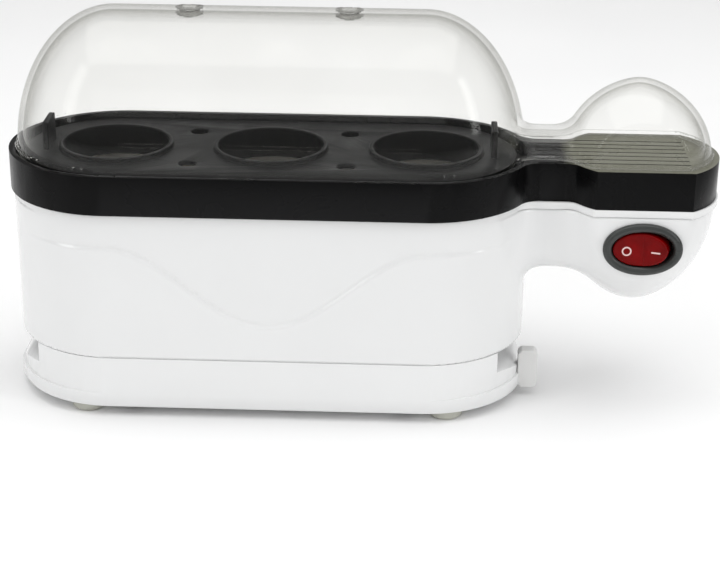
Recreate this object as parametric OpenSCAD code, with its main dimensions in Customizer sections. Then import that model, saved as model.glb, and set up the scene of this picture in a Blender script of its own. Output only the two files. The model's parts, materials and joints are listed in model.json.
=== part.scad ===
// Three-egg cooker: a clear lid with two domes, a black rim with a side pod that carries the switch,
// and a white body on a screwed base. The body is a stadium in plan: a straight middle and two round ends.
// Origin: on the table, under the middle of the whole outline. +X points to the pod, -Y to the front, +Z up.

/* [Body] */
// Distance between the centres of the body's two round ends
ends_pitch = 102; // [96:1:124]
// Depth of the white body, front to back
body_depth = 70; // [68:1:84]
// Height of the base moulding, from its underside to the seam
base_h = 18.3; // [17:0.1:22]
// Height of the body moulding, from the seam to the rim
body_h = 50.3; // [48:0.1:62]
// Wall of the white mouldings
shell_wall = 2.2; // [1.8:0.1:2.6]
// Depth of the wave line that runs round the body
wave_depth = 0.4; // [0.3:0.1:0.6]

/* [Rim] */
// Height of the black rim
rim_h = 13; // [12:0.5:16]
// How far the rim stands out over the body
rim_over = 1; // [0.5:0.1:1.4]
// Wall of the rim
rim_wall = 2; // [1.6:0.1:2.2]
// Depth of the shelf that the lid and the tray stand on, below the rim's top
shelf_drop = 3; // [2.5:0.1:4]
// Width of that shelf
shelf_w = 8; // [7.6:0.1:9]
// Thickness of that shelf
shelf_t = 2; // [1.6:0.1:2.4]

/* [Pod] */
// Distance from the body's end to the pod's axis
pod_gap = 36.4; // [36:0.1:42]
// Radius of the pod
pod_r = 26.2; // [25.5:0.1:28]
// Distance from the pod's middle to its flat front face
pod_face = 20.6; // [20:0.1:22]
// Depth of the pod's bowl below the rim
pod_depth = 38.9; // [36:0.1:44]
// Half width of the bridge between body and pod
bridge_half = 14; // [13:0.1:15]
// Depth of the bridge below the rim
bridge_h = 24.5; // [22:0.1:26]

/* [Lid] */
// Height of the large dome above the rim
lid_h = 46.4; // [44:0.1:58]
// Height of the small dome above the deck
small_dome_h = 25.4; // [22:0.1:30]
// Wall of the lid
lid_wall = 1.8; // [1.5:0.1:2.2]
// Gap all round between the lid's skirt and the rim
lid_gap = 1; // [0.6:0.1:1.2]
// Bore of the two steam vents
vent_d = 6.4; // [5:0.1:7]

/* [Tray and pan] */
// Bore of an egg seat
seat_d = 35; // [32:0.5:36]
// Depth of the water pan below the shelf
pan_depth = 24; // [20:0.5:25]
// Sheet of the water pan
pan_sheet = 1; // [0.8:0.1:1.2]
// Diameter of the tubular heating element
element_d = 6; // [5.5:0.1:6.6]

/* [Switch] */
// Width of the opening in the switch frame
switch_w = 19.8; // [18.6:0.1:20.2]
// Height of the opening in the switch frame
switch_h = 12.2; // [11.6:0.1:12.6]
// Gap all round between the rocker and the opening
rocker_gap = 0.3; // [0.25:0.05:0.4]
// Angle that the rocker tilts through, from off to on
rocker_throw = 16; // [12:1:16]
// Diameter of the rocker's pivot pins
pin_d = 2.4; // [2:0.1:2.6]
// Running clearance round the pivot pins
pin_clear = 0.05; // [0.03:0.01:0.08]

/* [Base and fasteners] */
// Height of the rubber feet below the base
foot_h = 3; // [2:0.5:5]
// Diameter of the rubber feet
foot_d = 11.4; // [9:0.1:12]
// Bore of the cord inlet
cord_bore = 6.2; // [5.5:0.1:7]
// Thread diameter of the self-tapping screws
screw_d = 3; // [2.6:0.1:3.2]

/* [Hidden] */
$fn = 64;
eps = 0.02;
// Clearance between fixed pieces that meet round a shank or a stem
slip = 0.05;

// Plan sizes
ends_half = ends_pitch / 2;
body_r = body_depth / 2;
body_end = ends_half + body_r;
inner_r = body_r - shell_wall;
rim_r = body_r + rim_over;
groove_r = rim_r - rim_wall;
lid_r = groove_r - lid_gap;
tray_r = lid_r - lid_wall - 0.6;
shelf_r = groove_r - shelf_w;
bowl_r = shelf_r - 0.4;
pod_x = body_end + pod_gap;
band_r = pod_r - 0.5;
band_face = pod_face - 0.2;
band_neck = bridge_half - 1;
small_dome_r = pod_r - 1.8;
small_dome_face = pod_face - 1.9;
channel_half = bridge_half - 3.8;
channel_h = 6.9;
body_fillet = 8;
pod_fillet = 5;
seat_pitch = ends_half + 0.6;
mid_x = (pod_x + pod_r - ends_half - rim_r) / 2;

// Heights
base_top = foot_h + base_h;
body_top = base_top + body_h;
trim_h = 2.3;
trim_z = body_top - trim_h;
rim_top = body_top + rim_h;
shelf_z = rim_top - shelf_drop;
under_shelf = shelf_z - shelf_t;
gasket_t = 1;
flange_z = under_shelf - gasket_t;
pan_floor = under_shelf - pan_depth;
bridge_z = body_top - bridge_h;
floor_t = 2.2;
floor_z = foot_h + floor_t;

// Fasteners
head_r = 2.7;
head_t = 2;
boss_r = 2.3;
flange_r = min(shelf_r + 1.6, body_r - shell_wall - head_r - boss_r - 0.2);
boss_line = inner_r - head_r - 0.1;
boss_hole_top = shelf_z - 0.4;
post_r = 4;
post_x = ends_half - 6;
post_y = inner_r - post_r - 0.2;
post_low = base_top - 7.3;
post_top = base_top + 21;
rim_screw_x = 18;
pan_screw_x = 36;
ledge_t = 3.8;
ledge_z = trim_z + 0.6;
feet_x = ends_half + 9;
feet_y = body_r - 9;

// Switch: its own frame has x along X, y into the pod and z up, from the middle of the flat face
switch_z = trim_z - 10.8;
switch_x = pod_x + 0.3;
frame_w = switch_w + 6.2;
frame_h = switch_h + 5.6;
frame_proud = 1.8;
frame_wall = 1.4;
box_w = switch_w + 3;
box_h = switch_h + 2 * frame_wall;
box_lift = shell_wall - 1.4; // the box's foot stands this far up, clear of the pod's rounded wall
box_depth = 17;
pivot_in = 5;
pressed_face = 0.6 + pivot_in;
rocker_w = switch_w - 2 * rocker_gap;
rocker_h = switch_h - 2 * rocker_gap;
lever_in = 14;
lever_half = 6;
lever_angle = 5;
blade_x = 6.2;

// Heating pieces
element_z = pan_floor - element_d / 2;
element_half = 13;
element_left = -ends_half + 2;
element_right = ends_half - 14;
clamp_x = [-30, 20];
clamp_t = 1;
clamp_z = pan_floor - element_d - clamp_t;
stud_r = 1.5;
thermostat_r = 8;
thermostat_h = 9.5;
thermostat_x = -6;
block_x = 20;
block_y = 4;
block_l = 26;
block_w = 14;
block_h = 12;
inlet_x = 20;
inlet_z = foot_h + 9.6;
wire_r = 1.1;

// ---------- shared shapes ----------

// Everything is drawn round the body's own middle, then moved so that the whole outline is centred
module place() {
    translate([-mid_x, 0, 0])
        children();
}

// Stadium outline: half straight length s, end radius r
module stadium(r, s = ends_half) {
    square([2 * s, 2 * r], center = true);
    for (x = [-s, s])
        translate([x, 0])
            circle(r);
}

module prism(r, z0, z1, s = ends_half) {
    translate([0, 0, z0])
        linear_extrude(z1 - z0)
            stadium(r, s);
}

// A profile of [radius, height] points carried round the stadium
module stadium_profile(points, s = ends_half) {
    for (turn = [0, 180])
        rotate(turn)
            translate([s, 0, 0])
                rotate(-90)
                    rotate_extrude(angle = 180)
                        polygon(points);
    for (side = [0, 1])
        mirror([0, side, 0])
            rotate([90, 0, 90])
                translate([0, 0, -s])
                    linear_extrude(2 * s)
                        polygon(points);
}

// Quarter of a superellipse from [a, 0] up to [0, b]
function quarter(a, b, n, m, steps) =
    [for (i = [0:steps - 1]) let (s = sin(90 * i / steps)) [a * pow(1 - pow(s, n), 1 / m), b * s]];

function dome_points(a, b, n, m, steps) =
    concat([[0, 0]], quarter(a, b, n, m, steps), [[0, b]]);

module rounded_rect(w, h, r) {
    square([w - 2 * r, h], center = true);
    square([w, h - 2 * r], center = true);
    for (x = [-1, 1], y = [-1, 1])
        translate([x * (w / 2 - r), y * (h / 2 - r)])
            circle(r);
}

// Round pod cut by two flat faces
module pod_circle(r, face) {
    intersection() {
        translate([pod_x, 0])
            circle(r);
        translate([pod_x - 2 * r, -face])
            square([4 * r, 2 * face]);
    }
}

// Plan of the bridge: straight sides that run out to the body and the pod in concave arcs
module bridge_plan(r, neck, main_r, inset) {
    half = neck - inset;
    f1 = body_fillet + inset;
    f2 = pod_fillet + inset;
    x1 = ends_half + sqrt(pow(main_r - inset + f1, 2) - pow(half + f1, 2));
    x2 = pod_x - sqrt(pow(r - inset + f2, 2) - pow(half + f2, 2));
    // the arcs bite a little into the round pieces, so that they cross and don't just touch
    bite = 0.05;
    difference() {
        polygon([[ends_half, 0], [x1, half + f1], [x2, half + f2],
                 [pod_x, 0], [x2, -half - f2], [x1, -half - f1]]);
        for (y = [-1, 1]) {
            translate([x1, y * (half + f1)])
                circle(f1 + bite);
            translate([x2, y * (half + f2)])
                circle(f2 + bite);
            translate([x1, y > 0 ? half : -half - f1 - 1])
                square([x2 - x1, f1 + 1]);
        }
    }
}

// Bridge and pod with upright walls, drawn smaller by an inset all round
module pod_block(h, r, face, neck, main_r, inset = 0) {
    linear_extrude(h)
        pod_circle(r - inset, face - inset);
    linear_extrude(h)
        bridge_plan(r, neck, main_r, inset);
}

// Egg-shaped bowl of the pod, hung from the rim's foot and cut off at top_z, smaller by an offset all round
module pod_bowl(offset_in, top_z) {
    intersection() {
        translate([pod_x, 0, body_top])
            mirror([0, 0, 1])
                rotate_extrude()
                    polygon(dome_points(pod_r - offset_in, pod_depth - offset_in, 1.73, 2.15, 14));
        translate([pod_x - 40, offset_in - pod_face, 0])
            cube([80, 2 * (pod_face - offset_in), top_z]);
    }
}

// Bridge: the plan's neck with its lower edges rounded
module bridge(offset_in, top_z) {
    edge_r = 8 - offset_in;
    half = bridge_half - offset_in + body_fillet;
    low = bridge_z + offset_in;
    intersection() {
        translate([0, 0, low])
            pod_block(top_z - low, pod_r - 8, pod_face - 4, bridge_half, body_r, offset_in);
        translate([ends_half, 0, 0])
            rotate([90, 0, 90])
                linear_extrude(pod_x - ends_half)
                    union() {
                        translate([-half, low + edge_r])
                            square([2 * half, top_z - low - edge_r]);
                        translate([-half + edge_r, low])
                            square([2 * (half - edge_r), edge_r + eps]);
                        for (y = [-1, 1])
                            translate([y * (half - edge_r), low + edge_r])
                                circle(edge_r);
                    }
    }
}

// Concave corner under the bridge, where it meets the body
module bridge_heel() {
    r = 7;
    half = bridge_half - 8;
    translate([0, half, 0])
        rotate([90, 0, 0])
            linear_extrude(2 * half)
                difference() {
                    translate([body_end - 3, bridge_z - r])
                        square([r + 3, r + 1]);
                    translate([body_end + r, bridge_z - r])
                        circle(r);
                }
}

// One at each corner of a rectangle about the body's middle
module four(x, y) {
    for (sx = [-1, 1], sy = [-1, 1])
        translate([sx * x, sy * y, 0])
            children();
}

module tube(r_out, r_in, z0, z1) {
    difference() {
        translate([0, 0, z0])
            cylinder(r = r_out, h = z1 - z0);
        translate([0, 0, z0 - 1])
            cylinder(r = r_in, h = z1 - z0 + 2);
    }
}

module screw(head_z, shank_top) {
    difference() {
        translate([0, 0, head_z])
            cylinder(r = head_r, h = head_t);
        translate([-head_r, -0.4, head_z - 1])
            cube([2 * head_r, 0.8, 1.8]);
        translate([-0.4, -head_r, head_z - 1])
            cube([0.8, 2 * head_r, 1.8]);
    }
    translate([0, 0, head_z + head_t])
        cylinder(r = screw_d / 2, h = shank_top - head_z - head_t);
}

// A wire swept along its route with eight sides
function unit(v) = v / norm(v);
function heading(p, i) = unit(p[min(i + 1, len(p) - 1)] - p[max(i - 1, 0)]);
function side_of(t) = unit(cross(t, abs(t[2]) > 0.8 ? [0, 1, 0] : [0, 0, 1]));
// Side vector of each ring, carried along the route without twisting
function sides_along(p) =
    [for (i = 0, u = side_of(heading(p, 0)); i < len(p);
          i = i + 1, t = heading(p, min(i, len(p) - 1)), u = unit(u - t * (u * t))) u];
function smooth_route(p, n) =
    [for (i = [0:len(p) - 2], k = [0:n - 1])
        let (a = p[max(i - 1, 0)], b = p[i], c = p[i + 1], d = p[min(i + 2, len(p) - 1)], t = k / n)
        0.5 * ((2 * b) + (c - a) * t + (2 * a - 5 * b + 4 * c - d) * t * t
            + (3 * b - a - 3 * c + d) * t * t * t), p[len(p) - 1]];

module wire(points) {
    sides = 8;
    path = smooth_route(points, 3);
    across = sides_along(path);
    rings = [for (i = [0:len(path) - 1])
        let (t = heading(path, i), u = across[i], v = cross(t, u))
        [for (k = [0:sides - 1]) path[i] + wire_r * (u * cos(360 * k / sides) + v * sin(360 * k / sides))]];
    verts = [for (ring = rings, q = ring) q];
    last = (len(path) - 1) * sides;
    faces = concat(
        [[for (k = [0:sides - 1]) k]],
        [[for (k = [sides - 1:-1:0]) last + k]],
        [for (i = [0:len(path) - 2], k = [0:sides - 1])
            [i * sides + k, (i + 1) * sides + k, (i + 1) * sides + (k + 1) % sides, i * sides + (k + 1) % sides]]);
    polyhedron(verts, faces);
}

// ---------- lid, tray and rim ----------

module lid_solid(offset_in, low) {
    prism(lid_r - offset_in, low, rim_top + eps);
    translate([0, 0, rim_top])
        stadium_profile(dome_points(lid_r - offset_in, lid_h - offset_in, 2, 2, 16));
}

module small_dome(offset_in) {
    low = rim_top + 0.3 - (offset_in > 0 ? 1 : 0);
    intersection() {
        translate([pod_x, 0, rim_top])
            union() {
                rotate_extrude()
                    polygon(dome_points(small_dome_r - offset_in, small_dome_h - offset_in, 1.16, 2, 14));
                translate([0, 0, -1])
                    cylinder(r = small_dome_r - offset_in, h = 1 + eps);
            }
        translate([pod_x - 40, offset_in - small_dome_face, low])
            cube([80, 2 * (small_dome_face - offset_in), small_dome_h + 2]);
    }
}

module channel(offset_in) {
    low = rim_top + 0.3 - (offset_in > 0 ? 1 : 0);
    top = rim_top + channel_h - offset_in;
    half = channel_half - offset_in;
    edge_r = 3 - offset_in;
    start = ends_half + lid_r - (offset_in > 0 ? 6 : 4);
    finish = pod_x - small_dome_r + (offset_in > 0 ? 8 : 6);
    translate([start, 0, 0])
        rotate([90, 0, 90])
            linear_extrude(finish - start)
                union() {
                    translate([-half, low])
                        square([2 * half, top - edge_r - low]);
                    translate([-half + edge_r, low])
                        square([2 * (half - edge_r), top - low]);
                    for (y = [-1, 1])
                        translate([y * (half - edge_r), top - edge_r])
                            circle(edge_r);
                }
}

module lid() {
    vent_x = seat_pitch / 2;
    place()
        color([0.93, 0.94, 0.92, 0.3])
            difference() {
                union() {
                    lid_solid(0, shelf_z + 0.3);
                    small_dome(0);
                    channel(0);
                }
                difference() {
                    union() {
                        lid_solid(lid_wall, shelf_z - 1);
                        small_dome(lid_wall);
                        channel(lid_wall);
                    }
                    for (x = [-vent_x, vent_x])
                        translate([x, 0, rim_top + lid_h - 3.4])
                            cylinder(d = vent_d + 2.6, h = 3);
                }
                for (x = [-vent_x, vent_x])
                    translate([x, 0, rim_top + lid_h - 5])
                        cylinder(d = vent_d, h = 8);
            }
}

module egg_tray() {
    low = shelf_z + 0.1;
    seat_low = low - 7;
    seat_top = low + 3.4;
    collar = seat_d / 2 + 1.5;
    lug_x = ends_half + shelf_r - 3;
    place()
        color([0.05, 0.05, 0.05])
            difference() {
                union() {
                    prism(tray_r, low, low + 1.8);
                    for (k = [-1:1])
                        translate([k * seat_pitch, 0, seat_low])
                            cylinder(r = collar, h = seat_top - seat_low);
                    for (side = [-1, 1])
                        translate([side * lug_x - 1, -6, low])
                            cube([2, 12, 11]);
                }
                for (k = [-1:1])
                    translate([k * seat_pitch, 0, seat_low - 1])
                        cylinder(d = seat_d, h = 20);
                for (k = [-0.5, 0.5], y = [-1, 1])
                    translate([k * seat_pitch, y * 17, low - 1])
                        cylinder(d = 6, h = 4);
            }
}

module rim_collar() {
    deck_t = 2;
    groove_w = 0.6;
    place()
        color([0.06, 0.06, 0.06])
            difference() {
                union() {
                    difference() {
                        union() {
                            prism(rim_r, body_top, rim_top);
                            translate([0, 0, body_top])
                                pod_block(rim_h, band_r, band_face, band_neck, rim_r);
                        }
                        prism(groove_r, body_top - 1, under_shelf);
                        prism(groove_r, shelf_z, rim_top + 1);
                        translate([0, 0, body_top - 1])
                            pod_block(rim_h + 1 - deck_t, band_r, band_face, band_neck, rim_r, rim_wall);
                    }
                    // the well's wall goes on between the well and the bridge
                    difference() {
                        prism(rim_r - 0.3, under_shelf, rim_top - 0.5);
                        prism(groove_r, shelf_z, rim_top + 1);
                    }
                    four(rim_screw_x, boss_line)
                        translate([0, 0, ledge_z])
                            cylinder(r = boss_r, h = under_shelf - ledge_z + eps);
                    four(pan_screw_x, boss_line)
                        translate([0, 0, flange_z - 1])
                            cylinder(r = boss_r, h = gasket_t + 1 + eps);
                }
                prism(shelf_r, under_shelf - 1, rim_top + 1);
                four(rim_screw_x, boss_line)
                    translate([0, 0, ledge_z - 1])
                        cylinder(r = screw_d / 2 + slip, h = 9.4);
                four(pan_screw_x, boss_line)
                    translate([0, 0, flange_z - 3])
                        cylinder(r = screw_d / 2 + slip, h = boss_hole_top - flange_z + 3);
                for (k = [-3:3])
                    translate([ends_half + rim_r + 1, k * 4 - groove_w / 2, rim_top - 0.4])
                        cube([pod_x - ends_half - rim_r + 14, groove_w, 1]);
            }
}

module pod_trim() {
    place()
        color([0.93, 0.93, 0.92])
            difference() {
                translate([0, 0, trim_z])
                    pod_block(trim_h, pod_r, pod_face, bridge_half, body_r);
                translate([0, 0, trim_z - 1])
                    pod_block(trim_h + 2, pod_r, pod_face, bridge_half, body_r, shell_wall);
                prism(body_r, trim_z - 1, body_top + 1);
            }
}

// ---------- body and base ----------

// Height of the wave line above the seam: level at the ends, with one smooth valley in front
function wave_z(x) = base_top + 12 + 26.2 * pow(sin(min(90, abs(x) * 90 / 56)), 2);

module wave_line() {
    reach = ends_half + 26;
    step = 4;
    line_w = 0.8;
    difference() {
        rotate([90, 0, 0])
            linear_extrude(body_r + 3)
                polygon(concat(
                    [for (x = [-reach:step:reach]) [x, wave_z(x)]],
                    [for (x = [reach:-step:-reach]) [x, wave_z(x) + line_w]]));
        prism(body_r - wave_depth, base_top, body_top);
    }
}

module body_housing() {
    place()
        color([0.95, 0.95, 0.94])
            difference() {
                union() {
                    difference() {
                        union() {
                            prism(body_r, base_top, body_top);
                            pod_bowl(0, trim_z);
                            bridge(0, trim_z);
                            bridge_heel();
                        }
                        prism(inner_r, base_top - 1, body_top + 1);
                        pod_bowl(shell_wall, trim_z + eps);
                        bridge(shell_wall, trim_z + eps);
                        wave_line();
                    }
                    // floors over the two cord recesses
                    for (side = [-1, 1])
                        intersection() {
                            prism(inner_r + 0.5, base_top, base_top + 2);
                            translate([side > 0 ? body_end - 11.6 : -body_end - 10, -50, 0])
                                cube([21.6, 100, 60]);
                        }
                    // posts for the base screws, joined to the wall by ribs
                    four(post_x, post_y)
                        translate([0, 0, post_low])
                            cylinder(r = post_r, h = post_top - post_low);
                    for (sx = [-1, 1], sy = [-1, 1])
                        translate([sx * post_x - 1.5, sy > 0 ? post_y : -inner_r - 0.5, base_top])
                            cube([3, inner_r + 0.5 - post_y, post_top - base_top]);
                    // ledges for the rim screws
                    for (sx = [-1, 1], sy = [-1, 1])
                        translate([sx * rim_screw_x - 5, sy > 0 ? boss_line - 3 : -inner_r - 0.5,
                                   ledge_z - ledge_t])
                            cube([10, inner_r + 0.5 - boss_line + 3, ledge_t]);
                }
                four(post_x, post_y)
                    translate([0, 0, post_low - 1])
                        cylinder(r = screw_d / 2 + slip, h = 14);
                four(rim_screw_x, boss_line)
                    translate([0, 0, ledge_z - ledge_t - 1])
                        cylinder(r = screw_d / 2 + 0.2, h = ledge_t + 2);
                translate([switch_x, -pod_face + 4, switch_z])
                    rotate([90, 0, 0])
                        linear_extrude(8)
                            rounded_rect(box_w + 0.4, box_h + 0.4, 2);
            }
}

// Recess at each end where the cord winds round the base, over a rounded foot
module end_scoop() {
    waist = body_end - 9;
    reach = 10.1;
    shoulder = base_top - 7.2;
    drop = shoulder - foot_h - 2.2;
    rotate([90, 0, 0])
        translate([0, 0, -60])
            linear_extrude(120)
                polygon(concat(
                    [[waist, base_top + 1]],
                    [for (i = [0:8]) [waist + reach * sin(90 * i / 8), shoulder - drop * (1 - cos(90 * i / 8))]],
                    [[body_end + 6, shoulder - drop], [body_end + 6, base_top + 1]]));
}

module base_cover() {
    plinth_top = foot_h + 5.6;
    place()
        color([0.95, 0.95, 0.94])
            difference() {
                union() {
                    difference() {
                        union() {
                            prism(body_r, plinth_top - 1, base_top);
                            stadium_profile([[0, foot_h], [body_r - 1.8, foot_h], [body_r - 0.5, foot_h + 0.6],
                                             [body_r, foot_h + 1.9], [body_r, plinth_top], [0, plinth_top]],
                                            ends_half + 1);
                        }
                        for (side = [0, 1])
                            mirror([side, 0, 0])
                                end_scoop();
                        intersection() {
                            prism(inner_r, floor_z, base_top + 1);
                            translate([-body_end + 11.2, -60, 0])
                                cube([2 * body_end - 22.4, 120, 60]);
                        }
                        prism(inner_r - 5, floor_z, floor_z + 4.5);
                    }
                    four(post_x, post_y)
                        translate([0, 0, foot_h + 1])
                            cylinder(r = post_r + 0.6, h = post_low - foot_h - 1);
                }
                four(post_x, post_y)
                    translate([0, 0, foot_h - 1])
                        union() {
                            cylinder(r = head_r + 0.4, h = 7);
                            cylinder(r = screw_d / 2 + 0.2, h = post_low);
                        }
                four(feet_x, feet_y)
                    translate([0, 0, foot_h - 1])
                        cylinder(r = 2 + slip, h = floor_t + 2);
                translate([inlet_x, body_r + 5, inlet_z])
                    rotate([90, 0, 0])
                        cylinder(r = cord_bore / 2 + 1.6, h = shell_wall + 10);
                clip_shape();
            }
}

module rubber_feet() {
    place()
        color([0.72, 0.72, 0.66])
            four(feet_x, feet_y) {
                translate([0, 0, 0.6])
                    cylinder(d = foot_d, h = foot_h - 0.6);
                cylinder(d1 = foot_d - 1.2, d2 = foot_d, h = 0.6 + eps);
                translate([0, 0, foot_h - eps])
                    cylinder(r = 2, h = floor_t + 1);
                translate([0, 0, floor_z])
                    cylinder(r = 2.7, h = 1.4);
            }
}

module clip_shape() {
    tab_h = 13.6;
    tab_w = 6.6;
    low = foot_h + 0.2;
    root_x = body_end - 3.4;
    tab_x = body_end - 1.4;
    tab_y = 6.5;
    cut = (tab_w + tab_h) / sqrt(2) - 1.6;
    translate([0, -tab_y, 0]) {
        // upright tab with cut corners, turned to the front
        translate([tab_x + tab_w / 2, 0, low + tab_h / 2])
            rotate([90, 0, 0])
                linear_extrude(5)
                    intersection() {
                        square([tab_w, tab_h], center = true);
                        rotate(45)
                            square([cut, cut], center = true);
                    }
        // root let into the base's rounded foot
        translate([root_x, -3.4, low + 2.4])
            cube([tab_x - root_x + 1, 1.8, 3.4]);
    }
}

module cord_clip() {
    place()
        color([0.84, 0.85, 0.83])
            clip_shape();
}

module cord_bush() {
    neck_r = cord_bore / 2 + 1.6 - slip;
    lip = 0.9;
    place()
        color([0.12, 0.12, 0.12])
            translate([inlet_x, body_r + lip, inlet_z])
                rotate([90, 0, 0])
                    difference() {
                        union() {
                            cylinder(r = neck_r, h = shell_wall + 2 * lip + 0.2);
                            cylinder(r = neck_r + 1.3, h = lip);
                            translate([0, 0, shell_wall + lip + 0.1])
                                cylinder(r = neck_r + 1, h = lip + 1);
                        }
                        translate([0, 0, -1])
                            cylinder(d = cord_bore, h = 12);
                    }
}

module base_screws() {
    place()
        color([0.62, 0.62, 0.64])
            four(post_x, post_y)
                screw(foot_h + 4, post_low + 12);
}

module rim_screws() {
    place()
        color([0.62, 0.62, 0.64])
            four(rim_screw_x, boss_line)
                screw(ledge_z - ledge_t - head_t, ledge_z + 7.4);
}

// ---------- pan and heating ----------

module heating_pan() {
    place()
        color([0.7, 0.7, 0.7])
            difference() {
                union() {
                    stadium_profile([[0, pan_floor], [bowl_r - 3, pan_floor], [bowl_r - 0.9, pan_floor + 0.9],
                                     [bowl_r, pan_floor + 3], [bowl_r, flange_z - pan_sheet],
                                     [flange_r, flange_z - pan_sheet], [flange_r, flange_z], [0, flange_z]]);
                    translate([0, 0, flange_z - pan_sheet])
                        linear_extrude(pan_sheet)
                            union()
                                for (sx = [-1, 1], sy = [-1, 1])
                                    translate([sx * pan_screw_x, sy * boss_line])
                                        union() {
                                            circle(3.6);
                                            translate([-3.6, sy > 0 ? -5 : 0])
                                                square([7.2, 5]);
                                        }
                    for (x = clamp_x)
                        translate([x, 0, clamp_z - 4])
                            cylinder(r = stud_r, h = pan_floor - clamp_z + 4 + eps);
                    // earth tab
                    translate([-46, -4, pan_floor - 6])
                        cube([0.8, 6, 6 + eps]);
                }
                stadium_profile([[0, pan_floor + pan_sheet], [bowl_r - 3, pan_floor + pan_sheet],
                                 [bowl_r - 1 - pan_sheet * 0.7, pan_floor + 1 + pan_sheet * 0.7],
                                 [bowl_r - pan_sheet, pan_floor + 3], [bowl_r - pan_sheet, flange_z + 1],
                                 [0, flange_z + 1]]);
                four(pan_screw_x, boss_line)
                    translate([0, 0, flange_z - 3])
                        cylinder(r = boss_r + slip, h = 5);
            }
}

module pan_gasket() {
    place()
        color([0.75, 0.3, 0.22])
            difference() {
                prism(flange_r, flange_z, under_shelf);
                prism(shelf_r, flange_z - 1, under_shelf + 1);
            }
}

module pan_screws() {
    low = flange_z - pan_sheet;
    place()
        color([0.62, 0.62, 0.64])
            four(pan_screw_x, boss_line) {
                screw(low - head_t, boss_hole_top - 0.1);
                translate([0, 0, low - 0.6])
                    cylinder(r = 3.3, h = 0.6);
            }
}

module element_run(r) {
    for (y = [-1, 1])
        translate([element_left, y * element_half, element_z])
            rotate([0, 90, 0])
                cylinder(r = r, h = element_right - element_left);
    translate([element_left, 0, element_z])
        rotate(90)
            rotate_extrude(angle = 180)
                translate([element_half, 0])
                    circle(r);
}

module heating_element() {
    place()
        color([0.45, 0.44, 0.42])
            difference() {
                element_run(element_d / 2 - 0.02);
                for (y = [-1, 1])
                    translate([element_right - 3, y * element_half, element_z])
                        rotate([0, 90, 0])
                            cylinder(r = 1.2 + slip, h = 5);
            }
}

module element_terminals() {
    place()
        color([0.93, 0.92, 0.88])
            for (y = [-1, 1])
                translate([element_right - 3, y * element_half, element_z])
                    rotate([0, 90, 0]) {
                        cylinder(r = 1.2, h = 12);
                        translate([0, 0, 3])
                            cylinder(r = 2.6, h = 5);
                    }
}

module element_clamps() {
    place()
        color([0.66, 0.66, 0.66])
            for (x = clamp_x)
                difference() {
                    translate([x - 4, -element_half - 5, clamp_z])
                        cube([8, 2 * element_half + 10, clamp_t - 0.02]);
                    translate([x, 0, clamp_z - 1])
                        cylinder(r = stud_r + slip, h = 4);
                }
}

module clamp_nuts() {
    place()
        color([0.6, 0.6, 0.62])
            for (x = clamp_x)
                difference() {
                    translate([x, 0, clamp_z - 2.4])
                        cylinder(r = 3.2, h = 2.4, $fn = 6);
                    translate([x, 0, clamp_z - 4])
                        cylinder(r = stud_r + slip, h = 6, $fn = 64);
                }
}

module thermostat() {
    place()
        color([0.8, 0.78, 0.7])
            translate([thermostat_x, 0, pan_floor]) {
                translate([0, 0, -thermostat_h])
                    cylinder(r = thermostat_r, h = thermostat_h);
                for (side = [-1, 1])
                    translate([side * 5 - 0.4, -2.4, -thermostat_h - 6])
                        cube([0.8, 4.8, 6 + eps]);
            }
}

module thermostat_clip() {
    place()
        color([0.66, 0.66, 0.66])
            translate([thermostat_x, 0, pan_floor - 5])
                difference() {
                    union() {
                        cylinder(r = thermostat_r + 1, h = 1);
                        for (side = [-1, 1])
                            translate([-3, side > 0 ? 0 : -9.6, 0])
                                cube([6, 9.6, 1]);
                        for (side = [-1, 1])
                            translate([-3, side > 0 ? 8.8 : -9.6, 0])
                                cube([6, 0.8, 5]);
                    }
                    translate([0, 0, -1])
                        cylinder(r = thermostat_r + slip, h = 3);
                }
}

module fuse_at() {
    translate([20, -4, pan_floor - 14])
        rotate([0, 90, 0])
            children();
}

module thermal_fuse() {
    place()
        color([0.75, 0.75, 0.78])
            fuse_at() {
                translate([0, 0, -5.5])
                    cylinder(r = 2, h = 11);
                translate([0, 0, -9])
                    cylinder(r = 0.5, h = 18);
            }
}

module fuse_sleeve() {
    place()
        color([0.9, 0.86, 0.7])
            fuse_at()
                tube(2.6, 2 + slip, -7.5, 7.5);
}

module terminal_block() {
    bay = block_l / 3;
    place()
        color([0.9, 0.9, 0.88])
            difference() {
                translate([block_x - block_l / 2, block_y, floor_z])
                    cube([block_l, block_w, block_h]);
                for (k = [-1:1]) {
                    translate([block_x + k * bay, block_y - 1, floor_z + 5])
                        rotate([-90, 0, 0])
                            cylinder(r = 1.6, h = block_w + 2);
                    translate([block_x + k * bay, block_y + block_w / 2, floor_z + 5])
                        cylinder(r = 1.7 + slip, h = block_h);
                }
            }
}

module terminal_screws() {
    bay = block_l / 3;
    place()
        color([0.75, 0.62, 0.3])
            for (k = [-1:1])
                translate([block_x + k * bay, block_y + block_w / 2, floor_z + 6.8])
                    difference() {
                        cylinder(r = 1.7, h = 4.4);
                        translate([-2, -0.25, 3.6])
                            cube([4, 0.5, 2]);
                    }
}

// ---------- switch ----------

module at_switch() {
    translate([switch_x, -pod_face, switch_z])
        children();
}

// A plate in the XZ plane, from y0 to y1
module upright(y0, y1) {
    translate([0, y1, 0])
        rotate([90, 0, 0])
            linear_extrude(y1 - y0)
                children();
}

module switch_frame() {
    place()
        color([0.2, 0.22, 0.21])
            at_switch()
                difference() {
                    union() {
                        upright(-frame_proud + 0.5, 0)
                            rounded_rect(frame_w, frame_h, frame_h / 2 - 0.3);
                        upright(-frame_proud, 0)
                            rounded_rect(frame_w - 1, frame_h - 1, frame_h / 2 - 0.8);
                    }
                    upright(-frame_proud - 1, 1)
                        rounded_rect(switch_w, switch_h, switch_h / 2 - 0.8);
                }
}

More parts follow.
